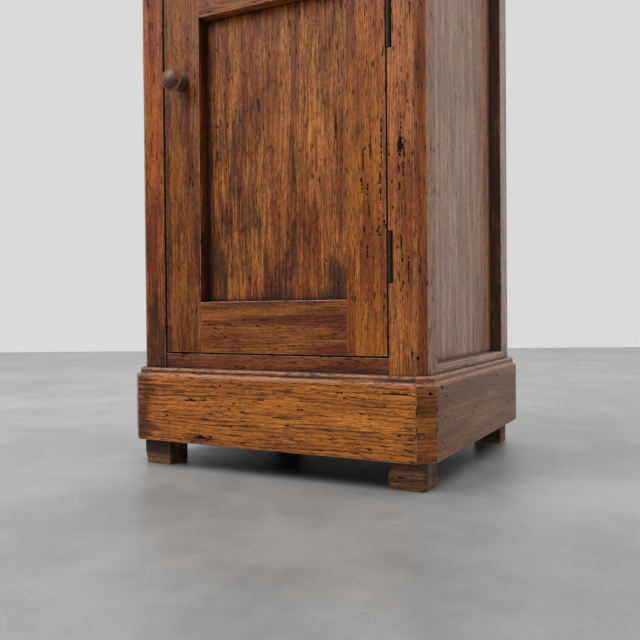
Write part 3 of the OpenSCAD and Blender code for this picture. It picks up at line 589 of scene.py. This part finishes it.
def boards():
    """Every wooden node: slot, grain, pith from the middle, slicing steps and looks."""
    rows = []

    def add(names, slot, grain, pith, steps, looks=None, **shape):
        for n in names if isinstance(names, (list, tuple)) else [names]:
            rows.append((n, slot, grain, pith, steps, looks or {}, shape))

    canted = dict(Light=colour("#c47531"), Deep=colour("#7e4119"), Cracks=0.3)
    plinth = dict(
        Light=colour("#d67c2b"), Deep=colour("#bb6821"), Rings=1.0, Streaks=0.4, Cracks=1.0, Stains=0.9,
    )
    plinth["Ring size"] = 4.8
    left_post = dict(Light=colour("#cc6f2a"), Deep=colour("#934514"), Stains=0.9, Streaks=0.6, sheen=0.25)
    right_post = dict(Light=colour("#d87d30"), Deep=colour("#a5501a"), Streaks=0.7, Cracks=1.0, sheen=0.45)
    rail = dict(Light=colour("#9e5424"), Deep=colour("#642d11"))
    calm = dict(Light=colour("#cf7826"), Deep=colour("#a04f17"), Rings=0.8, Streaks=0.55, Stains=0.7)
    foot = dict(Light=colour("#aa784d"), Deep=colour("#70492c"), Gloss=0.6, Stains=0.7)
    dark_foot = dict(foot, Light=colour("#946640"), Deep=colour("#5f3d25"))
    panel = dict(
        Light=colour("#d27e36"), Deep=colour("#a1521f"), Stain=colour("#32211c"),
        Rings=0.5, Streaks=0.95, Stains=0.9,
    )
    # Side boards paler and greyer than the front's wood: in part painted sheen, which their grazing view
    # catches; the rear posts paler still
    side = dict(
        Light=colour("#d0976b"), Deep=colour("#a26a45"), Streaks=0.6, Rings=0.45, Flecks=0.5, Gloss=0.3,
        sheen=0.65, relief=0.6,
    )
    low_side = dict(
        side, Light=colour("#a56e43"), Deep=colour("#88532f"), Streaks=0.4, Rings=0.8, Flecks=0.3, Cracks=0.3,
        sheen=0.15, relief=0.4,
    )
    rear_post = dict(side, Light=colour("#bd8d66"), Deep=colour("#946444"), Stains=1.0, sheen=0.8)
    old = dict(joint=1.0, free=1.5, chip=0.6, dust=0.8)
    inner = dict(
        Light=colour("#c49a66"), Deep=colour("#a3764a"), Line=colour("#7a5230"), Stain=colour("#5e4630"),
        Rings=0.5, Streaks=0.25, Flecks=0.3, Cracks=0.0, Worms=0.3, Stains=0.6, Gloss=0.6,
    )
    add("plinth_front", "front_wood", X, (0, 40, -190), (FINE, MIDDLE, MIDDLE), plinth, **old)
    add("plinth_corner_right", "front_wood", RIGHT_45, (30, -30, 160), (FINE, FINE, MIDDLE), canted, **old)
    add("plinth_corner_left", "front_wood", LEFT_45, (30, 30, 160), (FINE, FINE, CLOSE), canted,
        knocks=KNOCKS["plinth_corner_left"], **old)
    add(["plinth_side_left", "plinth_side_right"], "side_wood", Y, (60, 0, 170), (MIDDLE, FINE, MIDDLE),
        low_side, **old)
    add("foot_front_left", "dark_wood", X, (0, 30, 60), (CLOSE, CLOSE, FINE), dark_foot, free=3.5,
        knocks=KNOCKS["foot_front_left"])
    add("foot_front_right", "dark_wood", X, (0, 30, 60), (CLOSE, CLOSE, FINE), foot, free=3.5,
        knocks=KNOCKS["foot_front_right"])
    add(["foot_rear_left", "foot_rear_right"], "dark_wood", X, (0, 30, 60), (MIDDLE, MIDDLE, MIDDLE),
        foot, free=2.2)
    add("plinth_back", "inner_wood", X, (0, 60, 60), (COARSE, COARSE, COARSE), inner)
    add("post_front_left", "front_wood", Z, (90, 60, 0), (MIDDLE, MIDDLE, FINE), left_post,
        free=0.9, faded=1.0)
    add("post_front_right", "front_wood", Z, (90, 60, 0), (MIDDLE, MIDDLE, FINE), right_post,
        free=0.9, dirt=0.5, faded=1.0)
    add(["post_rear_left", "post_rear_right"], "side_wood", Z, (60, 90, 0), (MIDDLE, MIDDLE, FINE), rear_post)
    add("front_rail_lower", "front_wood", X, (0, 60, 90), (FINE, COARSE, MIDDLE), rail, joint=0.8, dust=0.9)
    add(["drawer_divider", "front_rail_upper"], "front_wood", X, (0, 60, 60), (FINE, COARSE, COARSE), calm)
    add(["side_rail_lower_left", "side_rail_lower_right", "side_rail_upper_left", "side_rail_upper_right"],
        "side_wood", Y, (60, 0, 60), (COARSE, MIDDLE, MIDDLE), side)
    add(["side_panel_left", "side_panel_right"], "side_wood", Z, (70, 30, 0), (0, MIDDLE, MIDDLE), side)
    add(["back_board_left", "back_board_right"], "inner_wood", Z, (20, 70, 0), (COARSE, 0, COARSE), inner)
    add(["back_rail_lower", "back_rail_upper"], "inner_wood", X, (0, 60, 60), (COARSE, 0, COARSE), inner)
    add(["floor_board", "shelf"], "inner_wood", X, (0, 30, 80), (COARSE, COARSE, 0), inner)
    add(["shelf_cleat_left", "shelf_cleat_right", "drawer_runner_left", "drawer_runner_right",
         "drawer_kicker_left", "drawer_kicker_right"], "inner_wood", Y, (40, 0, 40), (0, COARSE, 0), inner)
    add(["drawer_stops", "door_stop"], "inner_wood", X, (0, 40, 40), (COARSE, 0, 0), inner)
    add("top_board", "front_wood", X, (0, 60, 130), (MIDDLE, MIDDLE, 0), calm)
    add("door_stile_lock", "front_wood", Z, (120, 40, 0), (MIDDLE, MIDDLE, FINE),
        dict(Light=colour("#b36724"), Deep=colour("#78350e"), Stains=0.7))
    add("door_stile_hinge", "front_wood", Z, (-110, 50, 0), (MIDDLE, MIDDLE, FINE),
        dict(Light=colour("#cf7826"), Deep=colour("#a04f17"), Streaks=0.6, Cracks=1.0, Stains=0.8), dirt=0.5)
    add(["door_rail_lower", "door_rail_upper"], "front_wood", X, (0, 60, 80), (FINE, MIDDLE, MIDDLE),
        dict(Light=colour("#bb6a25"), Deep=colour("#7e370f"), Stains=0.7))
    add("door_panel", "front_wood", Z, (25, 120, 0), (MIDDLE, 0, MIDDLE), panel)
    add("drawer_front", "front_wood", X, (0, 50, 90), (FINE, MIDDLE, MIDDLE), calm)
    add(["drawer_side_left", "drawer_side_right"], "inner_wood", Y, (60, 0, 60), (0, COARSE, COARSE), inner)
    add("drawer_back", "inner_wood", X, (0, 60, 60), (COARSE, 0, COARSE), inner)
    add("drawer_bottom", "inner_wood", X, (0, 30, 90), (COARSE, COARSE, 0), inner)
    return rows


# Cracks, gouges and larger worm holes: place, direction, length, width, depth
MARKS = {
    "plinth_front": [
        ((-111, -186, 89.5), X, 20, 2.4, 1.5),
        ((-88, -186, 91), X, 9, 3.8, 2),
        ((-63, -186, 110), X, 5, 3.2, 1.5),
        ((-148, -186, 68), X, 5, 3, 1.5),
        ((-51, -186, 82), X, 6, 2.2, 1.2),
        ((-61, -186, 75), X, 6, 2.6, 1.2),
        ((-95, -186, 43), X, 15, 5, 3),
        ((-79, -186, 45), X, 6, 2.6, 1.5),
        ((104, -186, 108), X, 16, 2.2, 1.2),
        ((112, -186, 103), X, 12, 2, 1.2),
        ((172, -186, 110), X, 38, 2.2, 1.5),
        ((111, -186, 117), X, 8, 1.8, 1),
        ((-4, -186, 95), X, 10, 1.6, 1),
        ((51, -186, 86), X, 12, 1.6, 1),
        ((142, -186, 80), X, 8, 1.8, 1),
    ],
    "plinth_corner_right": [
        ((210, -173, 111), RIGHT_45, 6, 4, 2),
        ((196.8, -185.4, 90), Z, 13, 1.8, 1.5),
        ((196.8, -185.4, 72), Z, 7, 1.8, 1.5),
        ((214.4, -167.8, 94), Z, 10, 1.8, 1.5),
        ((214.4, -167.8, 72), Z, 13, 1.8, 1.5),
    ],
    "plinth_side_right": [
        ((215, -55, 111), Y, 4, 2.6, 2),
        ((215, -130, 99), Y, 4, 2.6, 2),
        ((215, 84, 111), Y, 4, 2.6, 2),
        ((215, -23, 79), Y, 4, 2.6, 2),
        ((215, -34, 72), Y, 4, 2.6, 2),
        ((215, -140, 82), Y, 4, 2.6, 2),
        ((215, -151, 54), Y, 4, 2.6, 2),
        ((215, 146, 68), Y, 4, 2.6, 2),
        ((215, -153, 116), Y, 9, 4, 2),
        ((215, -139, 105), Y, 7, 4, 2),
    ],
    "post_front_right": [
        ((175, -173, 386), Z, 25, 7.5, 3),
        ((179.5, -173, 381), Z, 22, 2.8, 1.5),
        ((178.3, -173, 362), Z, 24, 2.2, 1.5),
        ((176, -173, 412), Z, 24, 1.6, 1),
        ((173, -173, 360), Z, 14, 2.8, 1.6),
        ((174, -173, 342), Z, 14, 2, 1.2),
        ((162, -173, 378), Z, 4, 2.6, 2),
        ((165, -173, 347), Z, 4, 2.6, 2),
        ((166, -173, 319), Z, 4, 2.6, 2),
        ((175.5, -173, 276.5), Z, 20, 2, 1.5),
        ((177, -173, 259), Z, 5, 3.2, 2),
        ((184, -173, 250), Z, 42, 1.8, 1.5),
        ((177.5, -173, 230), Z, 22, 1.4, 1),
        ((171, -173, 273), Z, 4, 2.4, 2),
        ((182, -173, 269), Z, 4, 2.4, 2),
        ((175, -173, 225), Z, 4, 2.6, 2),
        ((193.5, -170.4, 149), Z, 8, 5, 2),
        ((202, -150, 417), Z, 8, 1.6, 1),
        ((202, -137, 385), Z, 10, 1.8, 1.2),
        ((202, -145, 350), Z, 5, 2.2, 1.5),
        ((202, -136, 300), Z, 10, 1.8, 1.2),
        ((202, -141, 214), Z, 4, 2.4, 1.5),
    ],
    "door_stile_hinge": [
        ((152.5, -173, 395), Z, 70, 1.5, 1),
        ((151, -173, 345), Z, 50, 1.6, 1),
        ((149.7, -173, 306), Z, 34, 1.5, 0.8),
        ((129.5, -173, 374), Z, 36, 1.8, 1.2),
        ((127.6, -173, 347), Z, 22, 2.4, 1.5),
        ((135, -173, 342), Z, 16, 2, 1.2),
        ((138.7, -173, 386), Z, 40, 1.5, 1),
        ((134, -173, 270), Z, 32, 1.6, 1),
        ((146, -173, 293), Z, 4, 2.4, 2),
        ((149, -173, 288), Z, 4, 2.4, 2),
        ((155.3, -173, 303), Z, 4, 2.4, 2),
        ((127, -173, 407), Z, 9, 2, 1.2),
        ((132, -173, 388), Z, 9, 2, 1.2),
        ((127, -173, 353), Z, 5, 2.2, 1.5),
        ((134, -173, 335), Z, 5, 2.2, 1.5),
    ],
    "door_stile_lock": [
        ((-117, -173, 374), Z, 16, 2.2, 1.2),
        ((-112, -173, 368), Z, 9, 1.8, 1),
    ],
    "door_rail_lower": [
        ((-95, -173, 190), X, 4, 2.4, 1.5),
        ((-88, -173, 186), X, 4, 2.4, 1.5),
        ((-79, -173, 182), X, 4, 2.4, 1.5),
        ((-70, -173, 175), X, 4, 2.4, 1.5),
        ((-64, -173, 170), X, 4, 2.4, 1.5),
        ((-84, -173, 172), X, 4, 2.4, 1.5),
        ((92, -173, 190), X, 4, 2.4, 1.5),
        ((98, -173, 186), X, 4, 2.4, 1.5),
        ((104, -173, 181), X, 4, 2.4, 1.5),
    ],
    "door_panel": [
        ((87, -156.6, 423), Z, 38, 1.8, 1.2),
        ((-80, -156.6, 400), Z, 6, 2.2, 1),
        ((-71, -156.6, 384), Z, 6, 2.2, 1),
        ((-84, -156.6, 441), Z, 8, 2.2, 1),
        ((-68, -156.6, 443), Z, 8, 2.2, 1),
    ],
    "side_panel_right": [
        ((186.1, -18, 409), Z, 4, 2.4, 1.5),
        ((186.1, 48, 385), Z, 4, 2.4, 1.5),
        ((186.1, -3, 355), Z, 4, 2.4, 1.5),
        ((186.1, 37, 337), Z, 4, 2.4, 1.5),
    ],
    "foot_front_right": [((172.5, -169.4, 14.5), X, 14, 2, 1.5)],
}

# Soft dark patches, and below zero golden patches: place, size, amount. Most dark ones are stains;
# those on recess walls, panel edges, the moulding's roll and the door's gap are painted shade.
BLOTS = {
    "plinth_front": [
        # Painted shade under the moulding's roll
        ((0, -183, 126.5), (400, 12, 3), 1.2),
        ((70, -186, 78), (170, 12, 32), -0.35),
        ((-190, -186, 80), (20, 9, 60), 1.2),
        ((-150, -186, 103), (40, 9, 8), 0.5),
        ((-105, -186, 45), (22, 9, 10), 0.6),
        ((0, -186, 38), (100, 9, 7), 0.4),
        ((190, -186, 60), (8, 9, 25), 0.5),
        ((50, -186, 98), (60, 9, 14), -0.5),
        ((150, -186, 78), (34, 9, 20), -0.5),
    ],
    "door_panel": [
        # Painted shadow of the lock stile on the panel's left edge, and painted shade along its right edge
        ((-99, -157, 400), (4, 9, 400), 1.6),
        ((106, -157, 300), (4, 9, 90), 1.6),
        ((-55, -157, 400), (30, 9, 70), 0.45),
        ((27, -157, 365), (7, 9, 90), 0.9),
        ((-55, -157, 313), (34, 9, 40), 0.6),
        ((-75, -157, 240), (34, 9, 34), 0.8),
        ((10, -157, 250), (30, 9, 34), 0.5),
        ((85, -157, 240), (24, 9, 34), 0.9),
        ((40, -157, 224), (60, 9, 6), 0.5),
        ((60, -157, 400), (22, 9, 60), -0.8),
        ((5, -157, 420), (12, 9, 60), -0.6),
    ],
    "door_stile_lock": [
        # Painted shade on the door's edge in the gap by the post, and on the stile's recess wall
        ((-157, -173, 520), (2, 20, 200), 3),
        ((-101, -163, 380), (3, 8, 400), 2),
        ((-151, -173, 350), (5, 9, 150), 0.7),
        ((-126, -173, 300), (4, 9, 120), 0.6),
        ((-115, -173, 375), (6, 9, 12), 0.6),
    ],
    "door_stile_hinge": [
        ((120, -173, 390), (7, 9, 22), 0.7),
        ((150, -173, 260), (4, 9, 60), 0.6),
    ],
    "door_rail_lower": [((-40, -173, 158), (34, 9, 7), 0.8)],
    "foot_front_left": [((-180, -169, 30), (40, 9, 14), 1.2)],
    "post_front_left": [
        ((-178, -173, 130), (30, 12, 70), 1.6),
        ((-178, -173, 270), (30, 12, 90), 0.4),
    ],
    "post_front_right": [
        ((175, -173, 386), (9, 9, 18), 0.6),
        ((178, -173, 138), (26, 12, 14), 0.7),
        ((172, -173, 290), (12, 9, 60), -0.3),
    ],
    # The second is painted shade on the rear post's face inside the side panel's recess
    "post_rear_right": [((200, 180, 138), (20, 20, 16), 0.7), ((200, 163, 400), (11, 3, 900), 2)],
    # The second is painted shade under the moulding's roll
    "plinth_side_right": [((215, -150, 112), (9, 12, 14), 0.6), ((215, 0, 126.8), (12, 400, 2.2), 0.6)],
}

for name, slot_name, grain, pith, steps, looks, shape in boards():
    material = wood(name, grain, pith, **looks)
    worn_board(
        name, slot_name, material, steps,
        marks=[Mark(*m) for m in MARKS.get(name, ())],
        blots=[Blot(*b) for b in BLOTS.get(name, ())],
        **shape,
    )


# Turned knobs: length, radius and half depth of the flattened head, and where two lines are scored in it
KNOB_L = 28
HEAD_R = 15
HEAD_T = 8
HEAD_STEPS = 32
SCORED_STEPS = (13, 19)
AROUND = 72


def turned_knob(node, gap, stem):
    """A turned knob with a beaded foot, a waist, a scored head and its stem."""
    lo, hi = BOXES[node]
    middle = (lo + hi) / 2 / MM
    face = lo.y / MM + KNOB_L
    outline = [(0, stem), (4, stem), (4, -gap), (8.8, -gap)]
    outline += [(9.7, -0.9), (10, -1.7), (9.6, -2.6), (8.6, -3.1), (8.3, -3.3), (7.6, -3.7)]
    outline += [(6.9, -4.4), (6.5, -5.6), (6.4, -7), (6.5, -8.6), (6.8, -10.4), (7.3, -12.4)]
    for i in range(HEAD_STEPS + 1):
        a = math.radians(-58 + 148 * i / HEAD_STEPS)
        score = 0.22 if i in SCORED_STEPS else 0
        outline.append((HEAD_R * math.cos(a) - score, HEAD_T - KNOB_L - HEAD_T * math.sin(a)))
    outline[-1] = (0, -KNOB_L)
    bm = bmesh.new()
    grime_and_shade = bm.verts.layers.float.new("grime_and_shade")
    wear_and_sheen = bm.verts.layers.float.new("wear_and_sheen")
    rings = []
    for radius, out in outline:
        ring = []
        for k in range(AROUND if radius else 1):
            a = 2 * math.pi * k / AROUND
            place = Vector((middle.x + radius * math.cos(a), face + out, middle.z + radius * math.sin(a)))
            dent = 0.12 * noise.noise(place * 0.16) + 0.05 * noise.noise(place * 0.5)
            place += Vector((math.cos(a), 0, math.sin(a))) * dent * min(1, radius / 6) * (out < -0.5)
            v = bm.verts.new(place * MM)
            # Darker in the waist and at the foot by the door: dirt and painted shade
            v[grime_and_shade] = max(0, min(1, 1 - abs(out + 8) / 8)) * 0.8 + 0.5 * (out > -4)
            v[wear_and_sheen] = max(0, 1 - abs(out + 20) / 4) if radius > 13 else 0
            ring.append(v)
        rings.append(ring)
    for a, b in zip(rings, rings[1:]):
        for k in range(AROUND):
            n = (k + 1) % AROUND
            if len(a) == 1:
                bm.faces.new((a[0], b[n], b[k]))
            elif len(b) == 1:
                bm.faces.new((a[k], a[n], b[0]))
            else:
                bm.faces.new((a[k], a[n], b[n], b[k]))
    bmesh.ops.recalc_face_normals(bm, faces=bm.faces)
    for face_made in bm.faces:
        face_made.smooth = True
    mesh = bpy.data.meshes.new(node + "_turned")
    bm.to_mesh(mesh)
    bm.free()
    mesh.set_sharp_from_angle(angle=math.radians(50))
    looks = dict(Light=colour("#8e4f22"), Deep=colour("#572a12"), Gloss=0.3, Worms=0.0, Cracks=0.2)
    mesh.materials.append(wood(node, X, (0, 10, 24), sheen=0.5, **looks))
    knob = bpy.data.objects.new(node + "_turned", mesh)
    bpy.context.scene.collection.objects.link(knob)
    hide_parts(node)
    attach(knob, BODY_OF[node])


turned_knob("door_knob", 0.3, 31.3)
turned_knob("drawer_knob", 0, 20)


# Iron


def finish_material(name, base, other, rough, metal, size, bumps):
    made = bpy.data.materials.new(name)
    made.use_nodes = True
    net = Net(made.node_tree)
    made.node_tree.nodes.clear()
    place = net.node("ShaderNodeTexCoord").outputs["Object"]
    spots = net.noise(place, (size * MM,) * 3, detail=5, rough=0.65)
    fine = net.noise(place, (size * MM / 6,) * 3, 4, detail=3, rough=0.6)
    mixed = net.mix(net.step(spots, 0.42, 0.68), base, other)
    shader = net.node("ShaderNodeBsdfPrincipled")
    shader.inputs["Metallic"].default_value = metal
    net.put(shader.inputs["Base Color"], mixed)
    net.put(shader.inputs["Roughness"], net.plus(net.times(spots, 0.3), rough))
    bump = net.node("ShaderNodeBump")
    bump.inputs["Distance"].default_value = MM
    net.put(bump.inputs["Height"], net.times(net.plus(spots, fine), bumps))
    net.put(shader.inputs["Normal"], bump.outputs[0])
    net.node("ShaderNodeOutputMaterial", shader.outputs[0])
    return made


IRON = finish_material("dark_iron", colour("#3a3a33"), colour("#4a3526"), 0.35, 0.7, 5, 0.15)
for name, thing in NODES.items():
    if not thing.hide_render:
        thing.data.materials.clear()
        thing.data.materials.append(IRON)


# Floor, backdrop and light


def make_stage():
    half_wide, ahead, behind = 4.0, 3.2, 2.83
    turn = Matrix.Rotation(math.radians(CAMERA_YAW), 4, "Z")
    mesh = bpy.data.meshes.new("floor")
    corners = [(-half_wide, -ahead), (half_wide, -ahead), (half_wide, behind), (-half_wide, behind)]
    mesh.from_pydata([turn @ Vector((x, y, 0)) for x, y in corners], [], [(0, 1, 2, 3)])
    floor = bpy.data.objects.new("floor", mesh)
    bpy.context.scene.collection.objects.link(floor)
    made = bpy.data.materials.new("concrete")
    made.use_nodes = True
    net = Net(made.node_tree)
    made.node_tree.nodes.clear()
    place = net.node("ShaderNodeTexCoord").outputs["Object"]
    clouds = net.noise(place, (0.5, 0.5, 0.5), detail=6, rough=0.6)
    veins = net.noise(place, (0.09, 0.09, 0.09), 3, detail=6, rough=0.68)
    both = net.plus(net.times(clouds, 0.5), net.times(veins, 0.5))
    shader = net.node("ShaderNodeBsdfPrincipled")
    parts = net.node("ShaderNodeSeparateXYZ", place).outputs
    inside = net.step(net.math("ABSOLUTE", parts["X"]), 0.15, 0.24, 1, 0)
    inside = net.times(inside, net.step(net.math("ABSOLUTE", parts["Y"]), 0.12, 0.21, 1, 0))

    # Painted shadow: darker under the object, in front of it, near the camera and towards the near right
    away = net.vector("DISTANCE", place, (0.15, -0.36, 0), "Value")
    aim = net.vector("DOT_PRODUCT", place, (-0.466, 0.885, 0), "Value")
    across = net.vector("DOT_PRODUCT", place, (0.885, 0.466, 0), "Value")
    painted_floor_shade = net.math("MAXIMUM", net.times(inside, 0.97), net.step(away, 0.1, 0.45, 0.22, 0))
    painted_floor_shade = net.plus(painted_floor_shade, net.step(aim, -0.35, 0.2, 0.07, 0))
    near_right = net.times(net.step(across, 0.02, 0.35, 0, 0.2), net.step(aim, -0.6, -0.2, 1, 0))
    painted_floor_shade = net.plus(painted_floor_shade, near_right)
    tint = net.mix(net.step(both, 0.38, 0.62), colour("#a5a8a8"), colour("#bcbdbc"))
    net.put(shader.inputs["Base Color"], net.mix(painted_floor_shade, tint, (0, 0, 0, 1)))
    net.put(shader.inputs["Roughness"], net.plus(net.times(veins, 0.2), 0.3))
    net.node("ShaderNodeOutputMaterial", shader.outputs[0])
    mesh.materials.append(made)


def make_world():
    world = bpy.data.worlds.new("studio")
    bpy.context.scene.world = world
    world.use_nodes = True
    net = Net(world.node_tree)
    world.node_tree.nodes.clear()
    rays = net.node("ShaderNodeLightPath").outputs
    way = net.node("ShaderNodeTexCoord").outputs["Generated"]
    parts = net.node("ShaderNodeSeparateXYZ", way).outputs

    def blend(factor, a, b):
        return net.plus(net.times(factor, a), net.times(net.math("SUBTRACT", 1, factor), b))

    seen = 0.7
    behind = net.step(parts["Y"], -0.35, 0.25)
    above = net.step(parts["Z"], 0.0, 0.6, 0.05, 0.5)
    mirrored = blend(behind, seen, above)
    soft = net.step(parts["Z"], -0.2, 1, 0.35, 0.75)
    level = blend(rays["Is Glossy Ray"], mirrored, soft)
    direct = net.math("MAXIMUM", rays["Is Camera Ray"], rays["Is Transmission Ray"])
    level = blend(direct, seen, level)
    shader = net.node("ShaderNodeBackground", (1, 1, 1, 1), level)
    net.node("ShaderNodeOutputWorld", shader.outputs[0])


def make_lamp(name, at, aim, size, power):
    data = bpy.data.lights.new(name, "AREA")
    data.shape = "SQUARE"
    data.size = size
    data.energy = power
    lamp = bpy.data.objects.new(name, data)
    bpy.context.scene.collection.objects.link(lamp)
    lamp.location = at
    lamp.rotation_euler = (Vector(aim) - Vector(at)).to_track_quat("-Z", "Y").to_euler()


bpy.context.scene.view_settings.view_transform = "Standard"
make_stage()
make_world()
make_lamp("key", (-1.3, -1.7, 2.3), (0, 0, 0.3), 1.8, 42)
make_lamp("over", (1.3, 0.5, 2.4), (0.5, 0.1, 0), 1.6, 12)
